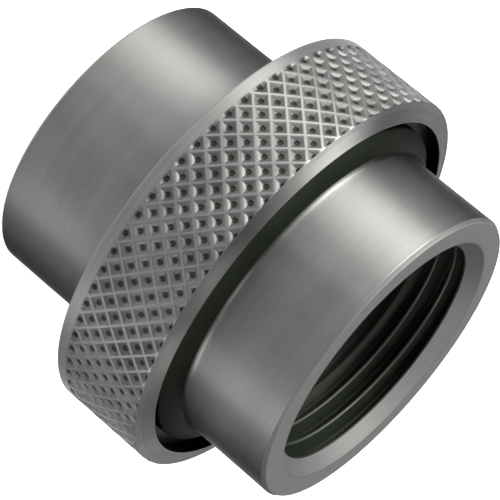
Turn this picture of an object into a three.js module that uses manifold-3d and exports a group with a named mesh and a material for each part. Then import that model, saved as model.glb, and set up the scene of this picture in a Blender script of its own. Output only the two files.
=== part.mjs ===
// Pipe union with a knurled hand nut, standing on its tail end. Millimetres, +Z along the pipe.
// A flanged tail body, a coupling nut that turns on it, and a threaded front body with an O-ring
// face seal between them. Screwing the nut up draws the front body down onto the seal.

import * as THREE from 'three';
import { mergeVertices } from 'three/addons/utils/BufferGeometryUtils.js';
import Module from 'manifold-3d';

const wasm = await Module();
wasm.setup();

// ---- Driving dimensions -------------------------------------------------------------------

const LENGTH = 43.0;            // tail end face to front end face

// G 1 pipe thread in both ends
const PIPE_PITCH = 2.309;
const PIPE_MINOR_R = 15.15;
const PIPE_MAJOR_R = 16.62;
const PIPE_THREAD_LENGTH = 14.0;
const PIPE_FLANK = THREE.MathUtils.degToRad(27.5);
const COUNTERSINK = PIPE_MAJOR_R - PIPE_MINOR_R;   // 45 degree lead at each mouth
const COUNTERSINK_LAND = 0.25;                     // plain bore left behind the lead
const TAIL_THREAD_Z = 2.1;      // middle of each thread's lowest ridge, where it starts
const FRONT_THREAD_Z = 29.6;
const PIPE_TURNS = 4.7;
const WATERWAY_R = 12.7;

// tail body
const TAIL_R = 18.4;
const FLANGE_R = 20.8;
const FLANGE_Z = 20.6;
const SEAT_Z = 23.4;            // sealing face of the tail body
const EDGE_BREAK = 0.3;         // small chamfer on turned edges

// O-ring and its groove in the sealing face
const SEAL_MEAN_R = 17.0;
const SEAL_WIRE_R = 1.05;
const GROOVE_HALF_WIDTH = 1.5;
const GROOVE_FLOOR_Z = 21.45;
const SEAL_FLOOR_GAP = 0.05;

// coupling nut
const NUT_R = 26.0;
const NUT_Z = 17.0;
const NUT_BORE_R = 18.6;        // running fit on the tail body
const NUT_SHOULDER_Z = 20.4;    // bears on the back of the flange
const NUT_THREAD_END_Z = 28.2;
const NUT_MOUTH_R = 23.55;
const NUT_RIM_Z = 29.45;        // outer edge of the front rim
const NUT_RIM_R = 25.15;
const NUT_FRONT_Z = 30.05;
const KNURL_END_Z = 29.1;

// thread between the nut and the front body
const UNION_PITCH = 2.0;
const UNION_FLANK = Math.PI / 6;
const MALE_ROOT_R = 20.75;
const MALE_CREST_R = 21.9;
const FEMALE_ROOT_R = 22.2;
const FEMALE_CREST_R = 21.05;
const MALE_FIRST_Z = 24.7;      // middle of the first ridge, where it starts
const MALE_TURNS = 1.75;
const FEMALE_FIRST_Z = MALE_FIRST_Z - 1.5 * UNION_PITCH;   // half a pitch out of step
const FEMALE_TURNS = 2.75;
const MALE_RUNOUT_Z = 27.9;     // where the male thread's wall starts to widen to the land

// front body
const FRONT_R = 19.75;
const COLLAR_Z = 23.7;          // clamped face, 0.3 above the tail body's sealing face
const COLLAR_LAND_R = 22.2;
const COLLAR_LAND_Z = 28.65;
const COLLAR_CONE_Z = 29.2;     // foot of the cone in front of the land
const NECK_Z = 30.77;           // where the cone meets the front cylinder
const NECK_R = 20.24;
const NECK_FILLET = 0.5;
const FRONT_CHAMFER_R = 0.35;
const FRONT_CHAMFER_Z = 0.5;

// facets
const TURN_FACETS = 48;
const THREAD_FACETS = 32;
const WIRE_FACETS = 10;
const RAMP_TURN = 0.2;          // part of a turn over which a thread starts and fades
const BURY = 0.25;              // how far a thread ridge is rooted in its wall
const CREST_HALF = 0.14;
const RIDGE_ROOM = 0.04;        // gap left between the roots of neighbouring turns

// ---- Shapes -------------------------------------------------------------------------------

// A closed profile of [radius, z] points, listed with the metal on the left, turned about Z.
function turned(profile) {
  const points = profile.map(([radius, z]) => new THREE.Vector2(radius, z));
  points.push(points[0].clone());
  const geometry = new THREE.LatheGeometry(points, TURN_FACETS);
  geometry.rotateX(Math.PI / 2);
  return geometry;
}

// One right-hand thread ridge, fading into its wall at both ends.
// It stands outwards where crestR is more than rootR, and inwards where it is less.
function threadRidge({ rootR, crestR, pitch, flank, firstZ, turns }) {
  const side = Math.sign(crestR - rootR);
  const buriedR = rootR - side * BURY;
  const depth = Math.abs(crestR - buriedR);
  const rootHalf = Math.min(CREST_HALF + depth * Math.tan(flank), pitch / 2 - RIDGE_ROOM);
  const lowest = BURY / 2 / depth;
  const stations = Math.round(turns * THREAD_FACETS) + 1;
  const corners = [];
  for (let i = 0; i < stations; i += 1) {
    const turn = i / THREAD_FACETS;
    const fade = Math.min(1, turn / RAMP_TURN, (turns - turn) / RAMP_TURN);
    const tipR = buriedR + side * depth * Math.max(lowest, fade);
    const z = firstZ + pitch * turn;
    const angle = 2 * Math.PI * turn;
    const section = [
      [buriedR, z - rootHalf],
      [tipR, z - CREST_HALF],
      [tipR, z + CREST_HALF],
      [buriedR, z + rootHalf],
    ];
    for (const [radius, height] of section) {
      corners.push(radius * Math.cos(angle), radius * Math.sin(angle), height);
    }
  }
  const faces = [];
  const addFace = (a, b, c) => faces.push(...(side > 0 ? [a, b, c] : [a, c, b]));
  for (let i = 0; i + 1 < stations; i += 1) {
    for (let k = 0; k < 4; k += 1) {
      const here = 4 * i + k;
      const next = 4 * i + (k + 1) % 4;
      addFace(here, here + 4, next);
      addFace(next, here + 4, next + 4);
    }
  }
  const last = 4 * (stations - 1);
  addFace(0, 1, 2);
  addFace(0, 2, 3);
  addFace(last, last + 2, last + 1);
  addFace(last, last + 3, last + 2);
  const geometry = new THREE.BufferGeometry();
  geometry.setAttribute('position', new THREE.Float32BufferAttribute(corners, 3));
  geometry.setIndex(faces);
  return geometry;
}

function toManifold(geometry) {
  const bare = geometry.clone();
  bare.deleteAttribute('normal');
  bare.deleteAttribute('uv');
  const merged = mergeVertices(bare, 1e-4);
  return new wasm.Manifold(new wasm.Mesh({
    numProp: 3,
    vertProperties: Float32Array.from(merged.attributes.position.array),
    triVerts: Uint32Array.from(merged.index.array),
  }));
}

function joined(...geometries) {
  const whole = geometries.map(toManifold).reduce((sum, piece) => sum.add(piece));
  const mesh = whole.getMesh();
  const indexed = new THREE.BufferGeometry();
  indexed.setAttribute('position', new THREE.BufferAttribute(mesh.vertProperties, 3));
  indexed.setIndex(new THREE.BufferAttribute(mesh.triVerts, 1));
  const geometry = indexed.toNonIndexed();
  geometry.computeVertexNormals();
  return geometry;
}

// ---- Sub-parts ----------------------------------------------------------------------------

// The socket profile from its mouth inwards; inward is +1 when the socket runs up, -1 down.
function socketProfile(mouthZ, inward) {
  const at = (radius, depth) => [radius, mouthZ + inward * depth];
  const landEnd = COUNTERSINK + COUNTERSINK_LAND;
  return [
    at(PIPE_MAJOR_R, 0),
    at(PIPE_MINOR_R, COUNTERSINK),
    at(PIPE_MINOR_R, landEnd),
    at(PIPE_MAJOR_R, landEnd + COUNTERSINK / 2),
    at(PIPE_MAJOR_R, PIPE_THREAD_LENGTH),
    at(WATERWAY_R, PIPE_THREAD_LENGTH + (PIPE_MAJOR_R - WATERWAY_R) / 2),
  ];
}

function pipeThread(firstZ) {
  return threadRidge({
    rootR: PIPE_MAJOR_R,
    crestR: PIPE_MINOR_R,
    pitch: PIPE_PITCH,
    flank: PIPE_FLANK,
    firstZ,
    turns: PIPE_TURNS,
  });
}

function tailBody() {
  const grooveInner = SEAL_MEAN_R - GROOVE_HALF_WIDTH;
  const grooveOuter = SEAL_MEAN_R + GROOVE_HALF_WIDTH;
  const shell = turned([
    [TAIL_R - EDGE_BREAK, 0],
    [TAIL_R, EDGE_BREAK],
    [TAIL_R, FLANGE_Z],
    [FLANGE_R - EDGE_BREAK, FLANGE_Z],
    [FLANGE_R, FLANGE_Z + EDGE_BREAK],
    [FLANGE_R, SEAT_Z - EDGE_BREAK],
    [FLANGE_R - EDGE_BREAK, SEAT_Z],
    [grooveOuter, SEAT_Z],
    [grooveOuter, GROOVE_FLOOR_Z],
    [grooveInner, GROOVE_FLOOR_Z],
    [grooveInner, SEAT_Z],
    [WATERWAY_R, SEAT_Z],
    ...socketProfile(0, 1).reverse(),
  ]);
  return joined(shell, pipeThread(TAIL_THREAD_Z));
}

function sealRing() {
  const wireZ = GROOVE_FLOOR_Z + SEAL_FLOOR_GAP + SEAL_WIRE_R;
  const ring = new THREE.TorusGeometry(SEAL_MEAN_R, SEAL_WIRE_R, WIRE_FACETS, TURN_FACETS);
  ring.translate(0, 0, wireZ);
  return ring;
}

function couplingNut() {
  const shell = turned([
    [NUT_R - EDGE_BREAK, NUT_Z],
    [NUT_R, NUT_Z + EDGE_BREAK],
    [NUT_R, KNURL_END_Z],
    [NUT_RIM_R, NUT_RIM_Z],
    [NUT_MOUTH_R, NUT_FRONT_Z],
    [NUT_MOUTH_R, NUT_THREAD_END_Z],
    [FEMALE_ROOT_R, NUT_THREAD_END_Z],
    [FEMALE_ROOT_R, NUT_SHOULDER_Z],
    [NUT_BORE_R, NUT_SHOULDER_Z],
    [NUT_BORE_R, NUT_Z],
  ]);
  const thread = threadRidge({
    rootR: FEMALE_ROOT_R,
    crestR: FEMALE_CREST_R,
    pitch: UNION_PITCH,
    flank: UNION_FLANK,
    firstZ: FEMALE_FIRST_Z,
    turns: FEMALE_TURNS,
  });
  return joined(shell, thread);
}

function threadedBody() {
  const neckTop = NECK_Z + NECK_FILLET;
  const shell = turned([
    [MALE_ROOT_R - EDGE_BREAK, COLLAR_Z],
    [MALE_ROOT_R, COLLAR_Z + EDGE_BREAK],
    [MALE_ROOT_R, MALE_RUNOUT_Z],
    [COLLAR_LAND_R, COLLAR_LAND_Z],
    [COLLAR_LAND_R, COLLAR_CONE_Z],
    [NECK_R, NECK_Z],
    [FRONT_R, neckTop],
    [FRONT_R, LENGTH - FRONT_CHAMFER_Z],
    [FRONT_R - FRONT_CHAMFER_R, LENGTH],
    ...socketProfile(LENGTH, -1),
    [WATERWAY_R, COLLAR_Z],
  ]);
  const maleThread = threadRidge({
    rootR: MALE_ROOT_R,
    crestR: MALE_CREST_R,
    pitch: UNION_PITCH,
    flank: UNION_FLANK,
    firstZ: MALE_FIRST_Z,
    turns: MALE_TURNS,
  });
  return joined(shell, pipeThread(FRONT_THREAD_Z), maleThread);
}

// ---- Assembly -----------------------------------------------------------------------------

const STEEL = { color: 0x8d8e8e, roughness: 0.42, metalness: 0.9 };
const NUT_STEEL = { color: 0x858687, roughness: 0.46, metalness: 0.9 };
const NITRILE = { color: 0x141414, roughness: 0.6, metalness: 0.0 };

function subPart(name, geometry, finish) {
  const mesh = new THREE.Mesh(geometry, new THREE.MeshStandardMaterial(finish));
  mesh.name = name;
  return mesh;
}

const pipeUnion = new THREE.Group();
pipeUnion.add(
  subPart('tail_body', tailBody(), STEEL),
  subPart('seal_ring', sealRing(), NITRILE),
  subPart('coupling_nut', couplingNut(), NUT_STEEL),
  subPart('threaded_body', threadedBody(), STEEL),
);

export default pipeUnion;
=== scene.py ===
"""A pipe union with a knurled hand nut: tail body, O-ring, coupling nut and threaded front body.

Every piece is drawn as a turner would draw it, a section spun about the pipe axis, and its
threads are ridges swept up a helix and joined to the wall. The knurl is one diamond, cut out
flat, repeated along a strip and rolled round the nut.
"""
import math

import bmesh
import bpy
from mathutils import Matrix, Vector


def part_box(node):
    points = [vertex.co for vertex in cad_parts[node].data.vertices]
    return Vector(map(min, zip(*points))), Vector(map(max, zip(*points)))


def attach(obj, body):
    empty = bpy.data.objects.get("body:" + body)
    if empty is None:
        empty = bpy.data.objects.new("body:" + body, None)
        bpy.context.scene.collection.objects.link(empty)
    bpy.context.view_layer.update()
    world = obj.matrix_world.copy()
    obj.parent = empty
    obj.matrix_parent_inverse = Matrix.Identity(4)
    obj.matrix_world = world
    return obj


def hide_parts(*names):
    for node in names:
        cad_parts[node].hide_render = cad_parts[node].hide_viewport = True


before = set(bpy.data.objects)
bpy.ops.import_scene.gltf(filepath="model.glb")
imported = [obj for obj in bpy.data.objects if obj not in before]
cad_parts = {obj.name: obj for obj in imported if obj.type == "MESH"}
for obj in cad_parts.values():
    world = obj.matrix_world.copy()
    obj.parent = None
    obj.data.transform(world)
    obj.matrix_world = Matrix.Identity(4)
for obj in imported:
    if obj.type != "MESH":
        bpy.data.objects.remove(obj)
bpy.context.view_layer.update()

MM = 0.001
TURN = 2 * math.pi

# ---- Driving dimensions, in millimetres ----------------------------------------------------

front_low, front_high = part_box("threaded_body")
_, tail_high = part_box("tail_body")
nut_low, nut_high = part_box("coupling_nut")

LENGTH = front_high[2] / MM
NUT_REAR_Z = nut_low[2] / MM
NUT_FRONT_Z = nut_high[2] / MM
NUT_R = nut_high[0] / MM
TAIL_R = 18.4
TAIL_CHAMFER = 0.3
FLANGE_R = tail_high[0] / MM
FLANGE_Z = 20.6
SEAT_Z = tail_high[2] / MM
WATERWAY_R = 12.7

PIPE_PITCH = 2.309
PIPE_MINOR_R = 15.15
PIPE_MAJOR_R = 16.62
PIPE_THREAD_LENGTH = 14.0
PIPE_FLANK = math.radians(27.5)
PIPE_TURNS = 4.7
TAIL_THREAD_Z = 2.1
FRONT_THREAD_Z = 29.6
COUNTERSINK = PIPE_MAJOR_R - PIPE_MINOR_R
COUNTERSINK_LAND = 0.2

SEAL_MEAN_R = 17.0
SEAL_WIRE_R = 1.05
GROOVE_HALF_WIDTH = 1.5
GROOVE_FLOOR_Z = 21.45
SEAL_FLOOR_GAP = 0.05
SEAL_FLASH = 0.03               # how far the mould line stands out
SEAL_STEPS = 32                 # round the wire

UNION_PITCH = 2.0
UNION_FLANK = math.radians(30.0)
MALE_ROOT_R = 20.75
MALE_CREST_R = 21.9
MALE_FIRST_Z = 24.7
MALE_TURNS = 1.75
FEMALE_ROOT_R = 22.2
FEMALE_CREST_R = 21.05
FEMALE_FIRST_Z = MALE_FIRST_Z - 1.5 * UNION_PITCH
FEMALE_TURNS = 2.75

FRONT_R = 19.75
FRONT_CHAMFER_R = 0.35
FRONT_CHAMFER_Z = 0.5
COLLAR_Z = front_low[2] / MM
COLLAR_LAND_R = front_high[0] / MM
COLLAR_LAND_Z = 28.65
COLLAR_CONE_Z = 29.2
MALE_RUNOUT_Z = 27.9
NECK_Z = 30.77
NECK_R = 20.24
NECK_LAND = 0.01
NECK_STEPS = 5

NUT_BORE_R = 18.6
NUT_SHOULDER_Z = 20.4
NUT_THREAD_END_Z = 28.2
NUT_MOUTH_R = 23.55
NUT_RIM_R = 25.15
NUT_RIM_Z = 29.45

KNURL_COUNT = 66
KNURL_ROWS = 4
KNURL_LOW_Z = 18.83
KNURL_HEIGHT = 2.571
KNURL_HIGH_Z = KNURL_LOW_Z + KNURL_ROWS * KNURL_HEIGHT
KNURL_PIT_Z = 26.64             # a row with a pit on the seam's opposite side
KNURL_WIDTH = TURN * NUT_R / KNURL_COUNT
# each step of a pit's wall: how far in from the last one, and how much deeper
KNURL_SLOPE = ((0.13, 0.015), (0.16, 0.065), (0.26, 0.18))
KNURL_PIT = ((0.14, 0.14),)
KNURL_PIT_ROUND = 0.2           # how far the pit's corners are cut back
KNURL_DEPTH = sum(step[1] for step in KNURL_SLOPE + KNURL_PIT)
KNURL_SPARE_ROWS = 3            # trimmed away above and below the band
KNURL_RUNOUT = 0.22
KNURL_TOP_RUNOUT = 0.13
KNURL_TOP_DROP = 0.08

TURN_STEPS = 192
CORNER_STEPS = 4
CORNER_SUPPORT = 0.06           # from a rounded corner's end to the line that holds its flat
THREAD_STEPS = 96               # round one turn of a thread
RIDGE_BURY = 0.3
RIDGE_GAP = 0.02                # left at the root, each side of the middle between turns
CREST_ROUND = 0.085             # of the pitch
CREST_FLAT = 1.15               # half the crest's width, in rounds
# the crest's curve from its middle outwards: its drop in rounds, and its reach in flats
CREST_CURVE = ((0.0, 0.28), (0.25, 0.72), (0.75, 1.0))
FADE_STEPS = 10
FADE_LOW = 0.1                  # of the ridge's depth, left at its very end
SAME_TURN = 0.3                 # of the pitch, from the ridge's middle
SAME_SPOKE = 0.99999            # cosine of the angle between spokes that count as one
WELD = 0.0005 * MM
STRIP_WELD = 0.002 * MM
EDGE_WELD = 0.003 * MM
SEAM_WELD = 0.004 * MM
CUT_SNAP = 0.0001 * MM
SMOOTH = math.radians(34)


# ---- Modelling helpers ---------------------------------------------------------------------

def clear_selection():
    bpy.ops.object.select_all(action="DESELECT")


def make_active(piece):
    clear_selection()
    bpy.context.view_layer.objects.active = piece
    piece.select_set(True)


def edit(piece):
    make_active(piece)
    bpy.ops.object.mode_set(mode="EDIT")
    bpy.ops.mesh.select_mode(type="VERT")


def leave_edit():
    bpy.ops.object.mode_set(mode="OBJECT")


def pick_vertices(piece, wanted):
    """Selects the vertices whose place passes the test, and the edges and faces they make."""
    mesh = bmesh.from_edit_mesh(piece.data)
    bpy.ops.mesh.select_all(action="DESELECT")
    for vertex in mesh.verts:
        vertex.select_set(wanted(vertex.co))
    mesh.select_flush(True)
    bmesh.update_edit_mesh(piece.data)


def apply_modifiers(piece):
    make_active(piece)
    for modifier in list(piece.modifiers):
        bpy.ops.object.modifier_apply(modifier=modifier.name)


def rounded(outline):
    """A closed outline of [r, z, rounding] corners, in mm, with each rounded corner an arc and
    a close line beside each end of the arc, so that the flats shade flat."""
    points = []
    count = len(outline)
    for index, (r, z, radius) in enumerate(outline):
        here = Vector((r, z))
        if radius == 0:
            points.append(here)
            continue
        before = Vector(outline[index - 1][:2]) - here
        after = Vector(outline[(index + 1) % count][:2]) - here
        half = before.angle(after) / 2
        reach = radius / math.tan(half)
        before.normalize()
        after.normalize()
        centre = here + (before + after).normalized() * (radius / math.sin(half))
        first = here + before * reach
        last = here + after * reach
        points.append(first + before * CORNER_SUPPORT)
        for step in range(CORNER_STEPS + 1):
            spoke = (first - centre).lerp(last - centre, step / CORNER_STEPS)
            points.append(centre + spoke.normalized() * radius)
        points.append(last + after * CORNER_SUPPORT)
    return points


def draw_outline(name, points):
    """A closed outline in the XZ plane, drawn by extruding one corner from point to point."""
    clear_selection()
    bpy.ops.mesh.primitive_plane_add(size=MM)
    piece = bpy.context.object
    piece.name = name
    bpy.ops.object.mode_set(mode="EDIT")
    bpy.ops.mesh.select_all(action="SELECT")
    bpy.ops.mesh.merge(type="CENTER")
    spots = [Vector((point[0] * MM, 0, point[1] * MM)) for point in points]
    bpy.ops.transform.translate(value=spots[0])
    for here, there in zip(spots, spots[1:] + spots[:1]):
        bpy.ops.mesh.extrude_region_move(TRANSFORM_OT_translate={"value": there - here})
    bpy.ops.mesh.select_all(action="SELECT")
    bpy.ops.mesh.remove_doubles(threshold=WELD)
    leave_edit()
    return piece


def face_outwards(piece):
    edit(piece)
    bpy.ops.mesh.select_all(action="SELECT")
    bpy.ops.mesh.remove_doubles(threshold=WELD)
    bpy.ops.mesh.normals_make_consistent(inside=False)
    leave_edit()


def spin_round(piece):
    edit(piece)
    bpy.ops.mesh.select_all(action="SELECT")
    bpy.ops.mesh.spin(steps=TURN_STEPS, angle=TURN, center=(0, 0, 0), axis=(0, 0, 1))
    leave_edit()
    face_outwards(piece)


def turned(name, outline):
    piece = draw_outline(name, rounded(outline))
    spin_round(piece)
    return piece


def ridge_section(root_r, crest_r, pitch, shaded_wall):
    """A thread ridge's section, rooted in its wall, with a rounded crest."""
    side = math.copysign(1, crest_r - root_r)
    buried_r = root_r - side * RIDGE_BURY
    crest_round = pitch * CREST_ROUND
    flat = crest_round * CREST_FLAT
    depth = abs(crest_r - buried_r)
    root_half = min(flat + depth * math.tan(shaded_wall), pitch / 2 - RIDGE_GAP)
    upper = [(crest_r - side * crest_round * drop, flat * reach) for drop, reach in CREST_CURVE]
    upper.append((buried_r, root_half))
    lower = [(r, -z) for r, z in reversed(upper)]
    return lower + upper


def fade_ends(piece, buried_r, crest_r, pitch, first_z, steps):
    """Sinks the ridge's crest into its wall, station by station, towards both its ends."""
    edit(piece)
    for end, inwards in ((0, 1), (steps, -1)):
        for step in range(FADE_STEPS):
            station = end + inwards * step
            angle = station / THREAD_STEPS * TURN
            height = (first_z + station / THREAD_STEPS * pitch) * MM
            spoke = Vector((math.cos(angle), math.sin(angle)))
            left = FADE_LOW + (1 - FADE_LOW) * step / FADE_STEPS
            scale = (buried_r + (crest_r - buried_r) * left) / crest_r

            def on_crest(co):
                at_station = co.xy.normalized().dot(spoke) > SAME_SPOKE
                in_turn = abs(co.z - height) < pitch * SAME_TURN * MM
                above_wall = abs(co.xy.length / MM - buried_r) > RIDGE_BURY / 2
                return at_station and in_turn and above_wall

            pick_vertices(piece, on_crest)
            bpy.ops.transform.resize(value=(scale, scale, 1), center_override=(0, 0, 0))
    leave_edit()


def thread_ridge(name, root_r, crest_r, pitch, shaded_wall, first_z, turns):
    """A right-hand ridge swept up its helix, sunk back into its wall at both ends."""
    section = ridge_section(root_r, crest_r, pitch, shaded_wall)
    piece = draw_outline(name, [(r, z + first_z) for r, z in section])
    edit(piece)
    bpy.ops.mesh.select_all(action="SELECT")
    bpy.ops.mesh.edge_face_add()
    leave_edit()
    steps = round(turns * THREAD_STEPS)
    turns = steps / THREAD_STEPS
    screw = piece.modifiers.new("helix", "SCREW")
    screw.axis = "Z"
    screw.angle = turns * TURN
    screw.screw_offset = turns * pitch * MM
    screw.steps = screw.render_steps = steps
    screw.use_merge_vertices = False
    apply_modifiers(piece)
    face_outwards(piece)
    fade_ends(piece, section[0][0], crest_r, pitch, first_z, steps)
    return piece


def join_to(piece, ridge):
    union = piece.modifiers.new("join", "BOOLEAN")
    union.operation = "UNION"
    union.solver = "EXACT"
    union.object = ridge
    apply_modifiers(piece)
    bpy.data.objects.remove(ridge, do_unlink=True)


def finish_piece(piece, material, *others):
    """Gives the piece its finish, and each other one to the faces its test picks by centre."""
    piece.data.materials.clear()
    piece.data.materials.append(material)
    for face in piece.data.polygons:
        face.material_index = 0
    for index, (other, picks) in enumerate(others, 1):
        piece.data.materials.append(other)
        for face in piece.data.polygons:
            if picks(face.center / MM):
                face.material_index = index
    make_active(piece)
    bpy.ops.object.shade_smooth_by_angle(angle=SMOOTH)


def keep_crisp(piece, material):
    """Leaves the faces of one finish unsmoothed, as sharp facets."""
    for face in piece.data.polygons:
        if piece.data.materials[face.material_index] == material:
            face.use_smooth = False


# ---- The pieces ----------------------------------------------------------------------------

def socket(mouth_z, inward):
    """A threaded socket's wall from its mouth inwards."""
    land_end = COUNTERSINK + COUNTERSINK_LAND
    steps = (
        (PIPE_MAJOR_R, 0, 0.08),
        (PIPE_MINOR_R, COUNTERSINK, 0.05),
        (PIPE_MINOR_R, land_end, 0),
        (PIPE_MAJOR_R, land_end + COUNTERSINK / 2, 0),
        (PIPE_MAJOR_R, PIPE_THREAD_LENGTH, 0),
        (WATERWAY_R, PIPE_THREAD_LENGTH + (PIPE_MAJOR_R - WATERWAY_R) / 2, 0.2),
    )
    return [(r, mouth_z + inward * depth, radius) for r, depth, radius in steps]


def pipe_thread(first_z):
    return thread_ridge("pipe_thread", PIPE_MAJOR_R, PIPE_MINOR_R, PIPE_PITCH, PIPE_FLANK,
                        first_z, PIPE_TURNS)


def make_tail_body():
    groove_inner = SEAL_MEAN_R - GROOVE_HALF_WIDTH
    groove_outer = SEAL_MEAN_R + GROOVE_HALF_WIDTH
    outline = [
        (TAIL_R - TAIL_CHAMFER, 0, 0.08),
        (TAIL_R, TAIL_CHAMFER, 0.08),
        (TAIL_R, FLANGE_Z, 0.1),
        (FLANGE_R, FLANGE_Z, 0.25),
        (FLANGE_R, SEAT_Z, 0.25),
        (groove_outer, SEAT_Z, 0.08),
        (groove_outer, GROOVE_FLOOR_Z, 0.15),
        (groove_inner, GROOVE_FLOOR_Z, 0.15),
        (groove_inner, SEAT_Z, 0.08),
        (WATERWAY_R, SEAT_Z, 0.15),
    ] + socket(0, 1)[::-1]
    piece = turned("tail_body_turned", outline)
    join_to(piece, pipe_thread(TAIL_THREAD_Z))
    return piece


def make_threaded_body():
    neck_round = NECK_R - FRONT_R
    neck = [(NECK_R + NECK_LAND, NECK_Z, 0)]
    for step in range(1, NECK_STEPS + 1):
        angle = TURN / 4 * (3 - step / NECK_STEPS)
        neck.append((NECK_R + neck_round * math.cos(angle),
                     NECK_Z + neck_round * (1 + math.sin(angle)), 0))
    outline = [
        (WATERWAY_R, COLLAR_Z, 0.15),
        (MALE_ROOT_R, COLLAR_Z, 0.25),
        (MALE_ROOT_R, MALE_RUNOUT_Z, 0),
        (COLLAR_LAND_R, COLLAR_LAND_Z, 0.1),
        (COLLAR_LAND_R, COLLAR_CONE_Z, 0.1),
    ] + neck + [
        (FRONT_R, NECK_Z + 2 * neck_round, 0),
        (FRONT_R, LENGTH - FRONT_CHAMFER_Z, 0.1),
        (FRONT_R - FRONT_CHAMFER_R, LENGTH, 0.1),
    ] + socket(LENGTH, -1)
    piece = turned("threaded_body_turned", outline)
    join_to(piece, pipe_thread(FRONT_THREAD_Z))
    join_to(piece, thread_ridge("male_thread", MALE_ROOT_R, MALE_CREST_R, UNION_PITCH,
                                UNION_FLANK, MALE_FIRST_Z, MALE_TURNS))
    return piece


def make_seal_ring():
    """The O-ring, with the mould's line round its outside and its inside."""
    wire_z = GROOVE_FLOOR_Z + SEAL_FLOOR_GAP + SEAL_WIRE_R
    points = []
    for step in range(SEAL_STEPS):
        angle = TURN * step / SEAL_STEPS
        on_line = step % (SEAL_STEPS // 2) == 0
        reach = SEAL_WIRE_R if on_line else SEAL_WIRE_R - SEAL_FLASH
        points.append((SEAL_MEAN_R + reach * math.cos(angle), wire_z + reach * math.sin(angle)))
    piece = draw_outline("seal_ring_moulded", points)
    spin_round(piece)
    return piece


def sink(steps):
    """Steps the chosen face inwards and deeper."""
    for inwards, deeper in steps:
        bpy.ops.mesh.inset(thickness=inwards * MM, depth=-deeper * MM, use_boundary=True)


def make_diamond():
    """One diamond of the knurl, flat in the XZ plane, with its pit sunk towards +Y."""
    clear_selection()
    bpy.ops.mesh.primitive_circle_add(vertices=4, radius=MM, fill_type="NGON")
    piece = bpy.context.object
    piece.name = "coupling_nut_knurled"
    edit(piece)
    bpy.ops.mesh.select_all(action="SELECT")
    quarter = Matrix.Rotation(TURN / 4, 4, "X")
    mesh = bmesh.from_edit_mesh(piece.data)
    bmesh.ops.transform(mesh, matrix=quarter, verts=mesh.verts)
    bmesh.update_edit_mesh(piece.data)
    bpy.ops.transform.resize(value=(KNURL_WIDTH / 2, 1, KNURL_HEIGHT / 2),
                             center_override=(0, 0, 0))
    bpy.ops.mesh.normals_make_consistent(inside=False)
    if bmesh.from_edit_mesh(piece.data).faces[:][0].normal.y > 0:
        bpy.ops.mesh.flip_normals()
    sink(KNURL_SLOPE)
    bpy.ops.mesh.bevel(offset=KNURL_PIT_ROUND * MM, segments=1, affect="VERTICES")
    bpy.ops.mesh.select_all(action="DESELECT")
    mesh = bmesh.from_edit_mesh(piece.data)
    middle = min(mesh.faces, key=lambda face: face.calc_center_median().xz.length)
    middle.select_set(True)
    bmesh.update_edit_mesh(piece.data)
    sink(KNURL_PIT)
    leave_edit()
    return piece


def make_knurl_strip():
    """The knurled band laid out flat: X along the strip, Z up it, and +Y into the metal."""
    strip = make_diamond()
    edit(strip)
    bpy.ops.mesh.select_all(action="SELECT")
    start_x = -KNURL_COUNT / 2 * KNURL_WIDTH
    start_z = KNURL_PIT_Z - (KNURL_ROWS + 1) * KNURL_HEIGHT
    bpy.ops.mesh.duplicate_move(TRANSFORM_OT_translate={
        "value": (KNURL_WIDTH / 2 * MM, 0, KNURL_HEIGHT / 2 * MM)})
    bpy.ops.mesh.select_all(action="SELECT")
    bpy.ops.transform.translate(value=(start_x * MM, 0, start_z * MM))
    leave_edit()
    for name, count, step in (("along", KNURL_COUNT, (KNURL_WIDTH * MM, 0, 0)),
                              ("up", KNURL_ROWS + KNURL_SPARE_ROWS, (0, 0, KNURL_HEIGHT * MM))):
        array = strip.modifiers.new(name, "ARRAY")
        array.count = count
        array.use_relative_offset = False
        array.use_constant_offset = True
        array.constant_offset_displace = step
    apply_modifiers(strip)
    edit(strip)
    bpy.ops.mesh.select_all(action="SELECT")
    bpy.ops.mesh.remove_doubles(threshold=STRIP_WELD)
    for height, upwards in ((KNURL_LOW_Z, -1), (KNURL_HIGH_Z, 1)):
        bpy.ops.mesh.select_all(action="SELECT")
        bpy.ops.mesh.bisect(plane_co=(0, 0, height * MM), plane_no=(0, 0, upwards),
                            clear_outer=True, threshold=CUT_SNAP)
    leave_edit()
    return strip


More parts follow.
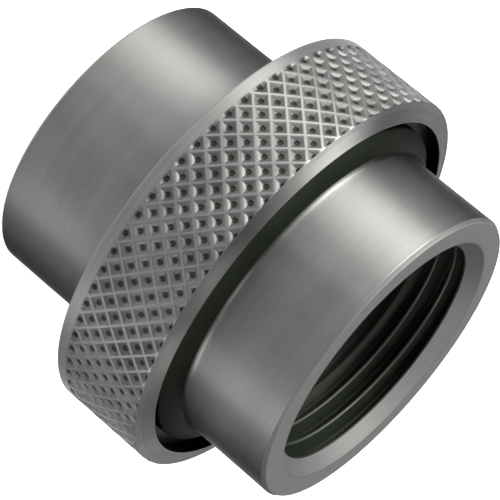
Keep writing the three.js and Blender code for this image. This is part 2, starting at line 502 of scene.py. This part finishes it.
def draw_nut_section(strip):
    """Carries the strip's lower edge round the nut's section and back to its upper edge."""
    edit(strip)
    # the knurl's lower edge runs out into the plain band
    pick_vertices(strip, lambda co: co.z < KNURL_LOW_Z * MM + STRIP_WELD)
    bpy.ops.mesh.extrude_region_move(
        TRANSFORM_OT_translate={"value": (0, 0, -KNURL_RUNOUT * MM)})
    bpy.ops.transform.resize(value=(1, 0, 1), center_override=(0, 0, 0))
    knurl_end_z = KNURL_HIGH_Z + KNURL_TOP_RUNOUT
    section = rounded([
        (NUT_R, NUT_REAR_Z, 0.3),
        (NUT_BORE_R, NUT_REAR_Z, 0.2),
        (NUT_BORE_R, NUT_SHOULDER_Z, 0.15),
        (FEMALE_ROOT_R, NUT_SHOULDER_Z, 0.15),
        (FEMALE_ROOT_R, NUT_THREAD_END_Z, 0.1),
        (NUT_MOUTH_R, NUT_THREAD_END_Z, 0.1),
        (NUT_MOUTH_R, NUT_FRONT_Z, 0.1),
        (NUT_RIM_R, NUT_RIM_Z, 0.1),
        (NUT_R - KNURL_TOP_DROP, knurl_end_z, 0),
    ])
    here = Vector((NUT_R, KNURL_LOW_Z - KNURL_RUNOUT))
    for point in section:
        step = point - here
        bpy.ops.mesh.extrude_region_move(
            TRANSFORM_OT_translate={"value": (0, -step.x * MM, step.y * MM)})
        here = point
    # the knurl's upper edge runs out into the rim's chamfer
    pick_vertices(strip, lambda co: abs(co.z - KNURL_HIGH_Z * MM) < STRIP_WELD
                  and co.y < KNURL_DEPTH * MM + 10 * STRIP_WELD)
    bpy.ops.mesh.extrude_region_move(
        TRANSFORM_OT_translate={"value": (0, 0, KNURL_TOP_RUNOUT * MM)})
    bpy.ops.transform.resize(value=(1, 0, 1), center_override=(0, KNURL_TOP_DROP * MM, 0))
    bpy.ops.mesh.select_all(action="SELECT")
    bpy.ops.mesh.remove_doubles(threshold=EDGE_WELD)
    leave_edit()


def roll_up(strip):
    """Bends the strip round the pipe axis and closes its seam."""
    places = [vertex.co.x for vertex in strip.data.vertices]
    bend = strip.modifiers.new("roll", "SIMPLE_DEFORM")
    bend.deform_method = "BEND"
    bend.deform_axis = "Z"
    bend.angle = (max(places) - min(places)) / (NUT_R * MM)
    apply_modifiers(strip)
    edit(strip)
    bpy.ops.mesh.select_all(action="SELECT")
    bpy.ops.transform.translate(value=(0, -NUT_R * MM, 0))
    bpy.ops.mesh.remove_doubles(threshold=SEAM_WELD)
    bpy.ops.mesh.normals_make_consistent(inside=False)
    leave_edit()


def make_coupling_nut():
    nut = make_knurl_strip()
    draw_nut_section(nut)
    roll_up(nut)
    join_to(nut, thread_ridge("female_thread", FEMALE_ROOT_R, FEMALE_CREST_R, UNION_PITCH,
                              UNION_FLANK, FEMALE_FIRST_Z, FEMALE_TURNS))
    return nut


# ---- Finishes ------------------------------------------------------------------------------

def new_group(name, inputs, outputs):
    group = bpy.data.node_groups.new(name, "ShaderNodeTree")
    for label, kind, value in inputs:
        socket_in = group.interface.new_socket(label, in_out="INPUT", socket_type=kind)
        socket_in.default_value = value
    for label, kind in outputs:
        group.interface.new_socket(label, in_out="OUTPUT", socket_type=kind)
    return group


FLOAT = "NodeSocketFloat"
VECTOR = "NodeSocketVector"


class Tree:
    """Short calls for laying nodes and joining them."""

    def __init__(self, tree):
        self.tree = tree

    def node(self, kind, **settings):
        family = "Node" if kind in ("GroupInput", "GroupOutput") else "ShaderNode"
        node = self.tree.nodes.new(family + kind)
        for key, value in settings.items():
            setattr(node, key, value)
        return node

    def feed(self, target, source):
        if hasattr(source, "is_output"):
            self.tree.links.new(source, target)
        else:
            target.default_value = source

    def maths(self, operation, first, second=None):
        node = self.node("Math", operation=operation)
        self.feed(node.inputs[0], first)
        if second is not None:
            self.feed(node.inputs[1], second)
        return node.outputs[0]

    def span(self, value, low, high, to_low=0.0, to_high=1.0, smooth=True):
        node = self.node("MapRange")
        node.interpolation_type = "SMOOTHSTEP" if smooth else "LINEAR"
        for index, source in enumerate((value, low, high, to_low, to_high)):
            self.feed(node.inputs[index], source)
        return node.outputs[0]

    def noise(self, vector, scale, detail=2.0, roughness=0.5):
        node = self.node("TexNoise")
        self.feed(node.inputs["Vector"], vector)
        self.feed(node.inputs["Scale"], scale)
        self.feed(node.inputs["Detail"], detail)
        self.feed(node.inputs["Roughness"], roughness)
        return node.outputs["Fac"]

    def mix(self, share, first, second):
        node = self.node("Mix", data_type="RGBA")
        self.feed(node.inputs[0], share)
        self.feed(node.inputs[6], first)
        self.feed(node.inputs[7], second)
        return node.outputs[2]

    def tint(self, colour, mask, strength, tone):
        """Lays the tone over the colour where the mask is, as strongly as asked."""
        return self.mix(self.maths("MULTIPLY", mask, strength), colour, tone)

    def bump(self, height, strength, depth):
        """A bump from a height of 0 to 1, its depth given in mm."""
        node = self.node("Bump")
        node.inputs["Strength"].default_value = strength
        node.inputs["Distance"].default_value = depth * MM
        self.feed(node.inputs["Height"], height)
        return node.outputs[0]

    def join_vector(self, x, y, z):
        node = self.node("CombineXYZ")
        for index, source in enumerate((x, y, z)):
            self.feed(node.inputs[index], source)
        return node.outputs[0]

    def split_vector(self, vector):
        node = self.node("SeparateXYZ")
        self.feed(node.inputs[0], vector)
        return node.outputs[:3]

    def radius(self, vector):
        """The distance of a point from the pipe axis, in metres."""
        x, y, _ = self.split_vector(vector)
        square = self.maths("ADD", self.maths("MULTIPLY", x, x), self.maths("MULTIPLY", y, y))
        return self.maths("SQRT", square)


def make_turning_group():
    """Fine rings left by the cutting tool, in tone and in height."""
    group = new_group(
        "turning_marks",
        [("Place", VECTOR, (0, 0, 0)), ("Rings per mm", FLOAT, 5.0), ("Waver", FLOAT, 0.02)],
        [("Tone", FLOAT), ("Height", FLOAT)])
    tree = Tree(group)
    given = tree.node("GroupInput").outputs
    x, y, height = tree.split_vector(given["Place"])
    radius = tree.radius(given["Place"])
    way = tree.maths("ARCTAN2", y, x)
    scale = tree.maths("MULTIPLY", given["Rings per mm"], 1 / MM)
    waver = tree.maths("MULTIPLY", tree.maths("SINE", tree.maths("MULTIPLY", way, 3.0)),
                       given["Waver"])
    across = tree.maths("ADD", tree.maths("MULTIPLY", radius, scale), waver)
    along = tree.maths("ADD", tree.maths("MULTIPLY", height, scale), waver)
    rings = tree.join_vector(across, tree.maths("MULTIPLY", way, 0.35), along)
    fine = tree.noise(rings, 1.0, 3.0, 0.6)
    broad = tree.noise(rings, 0.13, 2.0, 0.5)
    tone = tree.maths("ADD", tree.maths("MULTIPLY", fine, 0.6), tree.maths("MULTIPLY", broad, 0.4))
    out = tree.node("GroupOutput")
    tree.feed(out.inputs["Tone"], tone)
    tree.feed(out.inputs["Height"], fine)
    return group


def make_handling_group():
    """Faint smears and specks left by oil and hands."""
    group = new_group(
        "handling",
        [("Place", VECTOR, (0, 0, 0)), ("Smear size", FLOAT, 12.0), ("Speck size", FLOAT, 0.25)],
        [("Smear", FLOAT), ("Speck", FLOAT)])
    tree = Tree(group)
    given = tree.node("GroupInput").outputs
    smear_scale = tree.maths("DIVIDE", 1 / MM, given["Smear size"])
    speck_scale = tree.maths("DIVIDE", 1 / MM, given["Speck size"])
    smear = tree.span(tree.noise(given["Place"], smear_scale, 4.0, 0.6), 0.42, 0.68)
    speck = tree.span(tree.noise(given["Place"], speck_scale, 1.0, 0.5), 0.66, 0.74)
    out = tree.node("GroupOutput")
    tree.feed(out.inputs["Smear"], smear)
    tree.feed(out.inputs["Speck"], speck)
    return group


TURNING_GROUP = make_turning_group()
HANDLING_GROUP = make_handling_group()


def place_group(tree, group, place, **values):
    node = tree.node("Group")
    node.node_tree = group
    tree.feed(node.inputs["Place"], place)
    for label, value in values.items():
        node.inputs[label.replace("_", " ")].default_value = value
    return node.outputs


def start_material(name):
    material = bpy.data.materials.new(name)
    material.use_nodes = True
    tree = Tree(material.node_tree)
    shader = material.node_tree.nodes["Principled BSDF"]
    place = tree.node("TexCoord").outputs["Object"]
    return material, tree, shader, place


def feed_shader(tree, shader, sources):
    for label, source in sources.items():
        tree.feed(shader.inputs[label], source)


def grey(value):
    return (value, value, value, 1)


def steel(value):
    """A steel tone, with the faint green of the oil on it."""
    return (value, value * 1.012, value * 0.97, 1)


# where the rings' tone runs from dark to light
RING_TONES = (0.3, 0.7)
# dark oil on the bore's specks, and also the painted shade in the knurl's pits and on the thread's
# crests deep in the bore
OIL_AND_PAINTED_SHADE = (0.012, 0.014, 0.0105, 1)
# painted shade for the recess behind the front body's neck and in the nut's mouth
RECESS_PAINTED_SHADE = (0.014, 0.0165, 0.0125, 1)
# painted shade in the knurl's pits, from where it starts to where it is full
PIT_SHADE_STARTS = 0.2                # depth below the nut's outside, in mm
PIT_SHADE_FULL = 0.33


def turned_steel(name, light, dark, roughness, painted_highlight_from, painted_highlight_tone, edge_tint):
    """Satin turned steel. Above the given height in mm, a painted highlight makes it brighter."""
    material, tree, shader, place = start_material(name)
    marks = place_group(tree, TURNING_GROUP, place, Rings_per_mm=6.0, Waver=0.15)
    handling = place_group(tree, HANDLING_GROUP, place, Smear_size=9.0, Speck_size=0.3)
    height = tree.split_vector(place)[2]
    share = tree.span(marks["Tone"], *RING_TONES)
    colour = tree.mix(share, steel(dark), steel(light))
    colour = tree.tint(colour, handling["Smear"], 0.2, steel(dark * 0.9))
    # painted highlight: a lighter tone above the given height
    painted_highlight_mask = tree.span(height, (painted_highlight_from - 0.05) * MM, (painted_highlight_from + 0.02) * MM)
    painted_highlight_colour = tree.mix(share, steel(painted_highlight_tone * 0.9), steel(painted_highlight_tone))
    colour = tree.mix(painted_highlight_mask, colour, painted_highlight_colour)
    colour = tree.tint(colour, handling["Speck"], 0.2, steel(dark * 0.6))
    ring_gloss = tree.span(marks["Tone"], *RING_TONES, roughness + 0.03, roughness - 0.03)
    smear_gloss = tree.maths("MULTIPLY", handling["Smear"], 0.05)
    feed_shader(tree, shader, {
        "Base Color": colour,
        "Roughness": tree.maths("ADD", ring_gloss, smear_gloss),
        "Normal": tree.bump(marks["Height"], 0.1, 0.005),
        "Tangent": tree.node("Tangent", direction_type="RADIAL", axis="Z").outputs[0],
        "Metallic": 1.0,
        "Specular Tint": edge_tint,
        "Anisotropic": 0.88,
        "Anisotropic Rotation": 0.25,
    })
    return material


def knurled_steel(name, light, dark, roughness):
    """The rolled diamonds: clean on their slopes, with painted shade darkening the pits."""
    material, tree, shader, place = start_material(name)
    handling = place_group(tree, HANDLING_GROUP, place, Smear_size=6.0, Speck_size=0.25)
    colour = tree.mix(handling["Smear"], steel(light), steel(dark))
    colour = tree.tint(colour, handling["Speck"], 0.3, steel(dark * 0.4))
    # painted shade: the pits darkened towards near black
    pit_shade = tree.span(tree.radius(place), (NUT_R - PIT_SHADE_STARTS) * MM, (NUT_R - PIT_SHADE_FULL) * MM)
    colour = tree.tint(colour, pit_shade, 0.85, OIL_AND_PAINTED_SHADE)
    feed_shader(tree, shader, {
        "Base Color": colour,
        "Roughness": tree.span(handling["Smear"], 0.0, 1.0, roughness, roughness + 0.1),
        "Normal": tree.bump(tree.noise(place, 2.2 / MM, 3.0, 0.6), 0.4, 0.02),
        "Metallic": 1.0,
    })
    return material


def painted_shade_bore_steel(name, land, shaded_wall, deep, roughness):
    """The threaded bore and the recess in painted shade: the recess near black, the walls
    near-black towards both ends and lighter deeper in, and the thread's crests lighter near the
    mouth and painted dark deeper in.
    """
    material, tree, shader, place = start_material(name)
    handling = place_group(tree, HANDLING_GROUP, place, Smear_size=6.0, Speck_size=0.25)
    radius = tree.radius(place)
    height = tree.split_vector(place)[2]
    crest = tree.span(radius, (PIPE_MINOR_R + 0.2) * MM, (PIPE_MINOR_R + 0.04) * MM)
    from_middle = tree.maths("ABSOLUTE", tree.maths("SUBTRACT", height, LENGTH / 2 * MM))
    near_mouth = tree.span(from_middle, 14.2 * MM, 15.6 * MM)
    in_bore = tree.maths("LESS_THAN", radius, SEAL_MEAN_R * MM)
    # painted shade: the walls near-black towards both ends, lighter deeper in
    colour = tree.mix(tree.span(from_middle, 9.0 * MM, 15.5 * MM), deep, shaded_wall)
    colour = tree.mix(in_bore, RECESS_PAINTED_SHADE, colour)
    # painted shade on the crests deeper in, lighter crests near the mouth
    colour = tree.tint(colour, crest, in_bore, tree.mix(near_mouth, OIL_AND_PAINTED_SHADE, land))
    colour = tree.tint(colour, handling["Speck"], 0.3, OIL_AND_PAINTED_SHADE)
    feed_shader(tree, shader, {
        "Base Color": colour,
        "Roughness": tree.span(handling["Smear"], 0.0, 1.0, roughness, roughness + 0.08),
        "Metallic": 1.0,
    })
    return material


def faced_steel(name, light, dark, roughness):
    """The end faces and leads, cut across the bar: duller, with coarser rings, and painted shade
    on the outer chamfer and towards the hole.
    """
    material, tree, shader, place = start_material(name)
    marks = place_group(tree, TURNING_GROUP, place, Rings_per_mm=4.0, Waver=0.1)
    handling = place_group(tree, HANDLING_GROUP, place, Smear_size=5.0, Speck_size=0.3)
    radius = tree.radius(place)
    colour = tree.mix(tree.span(marks["Tone"], *RING_TONES), steel(dark), steel(light))
    colour = tree.tint(colour, handling["Smear"], 0.25, steel(dark * 0.85))
    colour = tree.tint(colour, handling["Speck"], 0.25, steel(dark * 0.6))
    # painted shade on the outer chamfer
    corner_r = FRONT_R - FRONT_CHAMFER_R
    chamfer_shade = tree.span(radius, corner_r * MM, (corner_r + 0.08) * MM)
    colour = tree.mix(chamfer_shade, colour, steel(dark * 0.5))
    # painted shade on the lead towards the hole
    hole_shade = tree.span(radius, (PIPE_MAJOR_R + 0.3) * MM, PIPE_MAJOR_R * MM)
    colour = tree.tint(colour, hole_shade, 0.32, steel(dark * 0.4))
    feed_shader(tree, shader, {
        "Base Color": colour,
        "Roughness": tree.span(handling["Smear"], 0.0, 1.0, roughness, roughness + 0.06),
        "Normal": tree.bump(marks["Height"], 0.2, 0.006),
        "Metallic": 1.0,
    })
    return material


def nitrile_rubber(name):
    material, tree, shader, place = start_material(name)
    handling = place_group(tree, HANDLING_GROUP, place, Smear_size=4.0, Speck_size=0.15)
    colour = tree.tint(grey(0.014), handling["Smear"], 0.5, grey(0.026))
    colour = tree.tint(colour, handling["Speck"], 0.5, grey(0.06))
    feed_shader(tree, shader, {
        "Base Color": colour,
        "Roughness": tree.span(handling["Smear"], 0.0, 1.0, 0.52, 0.4),
        "Normal": tree.bump(tree.noise(place, 6 / MM, 3.0, 0.6), 0.3, 0.01),
    })
    return material


# the floor's own glow where it is seen directly, and its reach from the union in metres
GLOW_NEAR, GLOW_FAR = 0.5, 1.0
GLOW_STARTS, GLOW_FULL = 0.1, 0.4
GLOW_UNSEEN = 0.35


def pale_floor(name):
    """The glow reaches full white away from the union, and only where it is seen directly."""
    material, tree, shader, place = start_material(name)
    seen = tree.node("LightPath").outputs["Is Camera Ray"]
    far = tree.span(tree.radius(place), GLOW_STARTS, GLOW_FULL, GLOW_NEAR, GLOW_FAR)
    feed_shader(tree, shader, {
        "Emission Color": tree.mix(seen, grey(GLOW_UNSEEN), tree.join_vector(far, far, far)),
        "Emission Strength": 1.0,
        "Base Color": tree.mix(tree.noise(place, 3.0), grey(0.86), grey(0.88)),
        "Roughness": 0.9,
        "Specular IOR Level": 0.1,
    })
    return material


# ---- Putting it together -------------------------------------------------------------------

# the allowances, in mm, in the tests of a face's centre
EDGE_NEAR = 0.02
WALL_NEAR = 0.05
SKIN_NEAR = 0.015
MOUTH_NEAR = 0.01
KNURL_FOOT = 0.5
MOUTH_LEAD = 1.0


def in_socket(centre):
    return centre.xy.length < PIPE_MAJOR_R + WALL_NEAR


def in_recess(centre):
    return MALE_RUNOUT_Z < centre.z < NECK_Z and centre.xy.length > NECK_R


def in_front_shade(centre):
    return in_socket(centre) or in_recess(centre)


def on_tail_end(centre):
    return centre.z < COUNTERSINK - EDGE_NEAR and centre.xy.length < TAIL_R - EDGE_NEAR


def on_front_end(centre):
    on_face = centre.z > LENGTH - COUNTERSINK + EDGE_NEAR
    return on_face and centre.xy.length < FRONT_R - EDGE_NEAR


def on_diamonds(centre):
    in_band = KNURL_LOW_Z - KNURL_FOOT < centre.z < KNURL_HIGH_Z
    low = NUT_R - KNURL_DEPTH - WALL_NEAR
    return in_band and low < centre.xy.length < NUT_R - SKIN_NEAR


def in_nut_mouth(centre):
    in_front = centre.z > NUT_THREAD_END_Z - MOUTH_LEAD
    return in_front and centre.xy.length < NUT_MOUTH_R + MOUTH_NEAR


# each steel is painted lighter above its given height, a painted highlight near the front body's
# top edge and on the nut's front face and chamfer
body_steel = turned_steel("body_steel", 0.114, 0.105, 0.42, LENGTH - FRONT_CHAMFER_Z, 0.15,
                          (0.3, 0.3, 0.3, 1))
nut_steel = turned_steel("nut_steel", 0.125, 0.105, 0.42, KNURL_HIGH_Z + 0.1, 0.21,
                         (0.8, 0.8, 0.8, 1))
# painted light: the end faces in a lighter steel than the turned sides
painted_light_end_steel = faced_steel("end_face_painted_light_steel", 0.185, 0.168, 0.6)
# painted shade for the threaded bores, the recess and the nut's mouth
painted_shade_steel = painted_shade_bore_steel("painted_shade_bore_steel", (0.048, 0.051, 0.045, 1), (0.02, 0.0235, 0.018, 1),
                            (0.16, 0.168, 0.15, 1), 0.55)
diamond_steel = knurled_steel("knurled_steel", 0.084, 0.058, 0.52)
seal_rubber = nitrile_rubber("seal_rubber")

tail = make_tail_body()
finish_piece(tail, body_steel, (painted_shade_steel, in_socket), (painted_light_end_steel, on_tail_end))
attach(tail, "tail")
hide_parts("tail_body")

seal = make_seal_ring()
finish_piece(seal, seal_rubber)
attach(seal, "tail")
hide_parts("seal_ring")

nut = make_coupling_nut()
finish_piece(nut, nut_steel, (diamond_steel, on_diamonds), (painted_shade_steel, in_nut_mouth))
keep_crisp(nut, diamond_steel)
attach(nut, "nut")
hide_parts("coupling_nut")

front = make_threaded_body()
finish_piece(front, body_steel, (painted_shade_steel, in_front_shade), (painted_light_end_steel, on_front_end))
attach(front, "front")
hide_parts("threaded_body")

# ---- Floor, light and camera ---------------------------------------------------------------

FLOOR_SIZE = 6.0                # metres
FLOOR_DROP = 0.02               # mm

clear_selection()
bpy.ops.mesh.primitive_plane_add(size=FLOOR_SIZE, location=(0, 0, -FLOOR_DROP * MM))
floor = bpy.context.object
floor.name = "floor"
floor.data.materials.append(pale_floor("floor_pale"))

# the studio's strength where it is seen directly, and where it only lights
STUDIO_SEEN = 1.0
STUDIO_LIGHT = 0.02

scene = bpy.context.scene
scene.view_settings.view_transform = "Standard"
world = bpy.data.worlds.new("studio")
scene.world = world
world.use_nodes = True
studio = Tree(world.node_tree)
background = world.node_tree.nodes["Background"]
background.inputs["Color"].default_value = grey(1)
seen = studio.node("LightPath").outputs["Is Camera Ray"]
studio.feed(background.inputs["Strength"],
            studio.span(seen, 0.0, 1.0, STUDIO_LIGHT, STUDIO_SEEN, False))

CENTRE = Vector((0, 0, LENGTH / 2 * MM))


def soft_light(name, azimuth, power, elevation, distance, width, height):
    """An area light facing the union. Azimuth 0 is the camera's side, and grows to its right."""
    turn, lift = math.radians(azimuth), math.radians(elevation)
    way = Vector((math.sin(turn) * math.cos(lift), -math.cos(turn) * math.cos(lift),
                  math.sin(lift)))
    bpy.ops.object.light_add(type="AREA", location=CENTRE + way * distance)
    lamp = bpy.context.object
    lamp.name = name
    lamp.rotation_euler = (-way).to_track_quat("-Z", "Y").to_euler()
    lamp.data.shape = "RECTANGLE"
    lamp.data.size = width
    lamp.data.size_y = height
    lamp.data.energy = power


# the bank of tall lamps round the camera's side, each with its azimuth and power
BANK = {
    "bank_left_1": (-95, 0.3),
    "bank_left_2": (-82, 7.2),
    "bank_left_3": (-70, 7.9),
    "bank_left_4": (-58, 5.3),
    "bank_left_5": (-45, 3.0),
    "bank_left_6": (-25, 1.8),
    "front": (0, 0.55),
    "bank_right_1": (50, 0.4),
    "bank_right_2": (70, 1.8),
    "bank_right_3": (85, 3.3),
    "bank_right_4": (110, 0.3),
}
# elevation in degrees, then distance, width and height in metres
BANK_PLACE = (26, 0.8, 0.17, 0.6)
HIGH_PLACE = (60, 0.8, 0.3, 0.35)
BACK_PLACE = (24, 1.2, 1.0, 0.4)
for name, (azimuth, power) in BANK.items():
    soft_light(name, azimuth, power, *BANK_PLACE)
soft_light("high_right", 40, 2.0, *HIGH_PLACE)
soft_light("back", 180, 2.1, *BACK_PLACE)

VIEW_ELEVATION = math.radians(19.64)
VIEW_ROLL = math.radians(129.85)
VIEW_DISTANCE = 317.3 * MM
VIEW_AIM = Vector((0.148 * MM, 0, 22.16 * MM))
VIEW_SENSOR = 36.0              # mm
VIEW_LENS = 199.3               # mm
VIEW_CLIP = 0.01                # metres

forward = Vector((0, math.cos(VIEW_ELEVATION), -math.sin(VIEW_ELEVATION)))
level = Vector((1, 0, 0))
upward = level.cross(forward)
side = math.cos(VIEW_ROLL) * level + math.sin(VIEW_ROLL) * upward
top = -math.sin(VIEW_ROLL) * level + math.cos(VIEW_ROLL) * upward
turn_to = Matrix((side, top, -forward)).transposed()
clear_selection()
bpy.ops.object.camera_add(location=VIEW_AIM - forward * VIEW_DISTANCE,
                          rotation=turn_to.to_euler())
camera = bpy.context.object
camera.data.sensor_width = VIEW_SENSOR
camera.data.lens = VIEW_LENS
camera.data.clip_start = VIEW_CLIP
scene.camera = camera
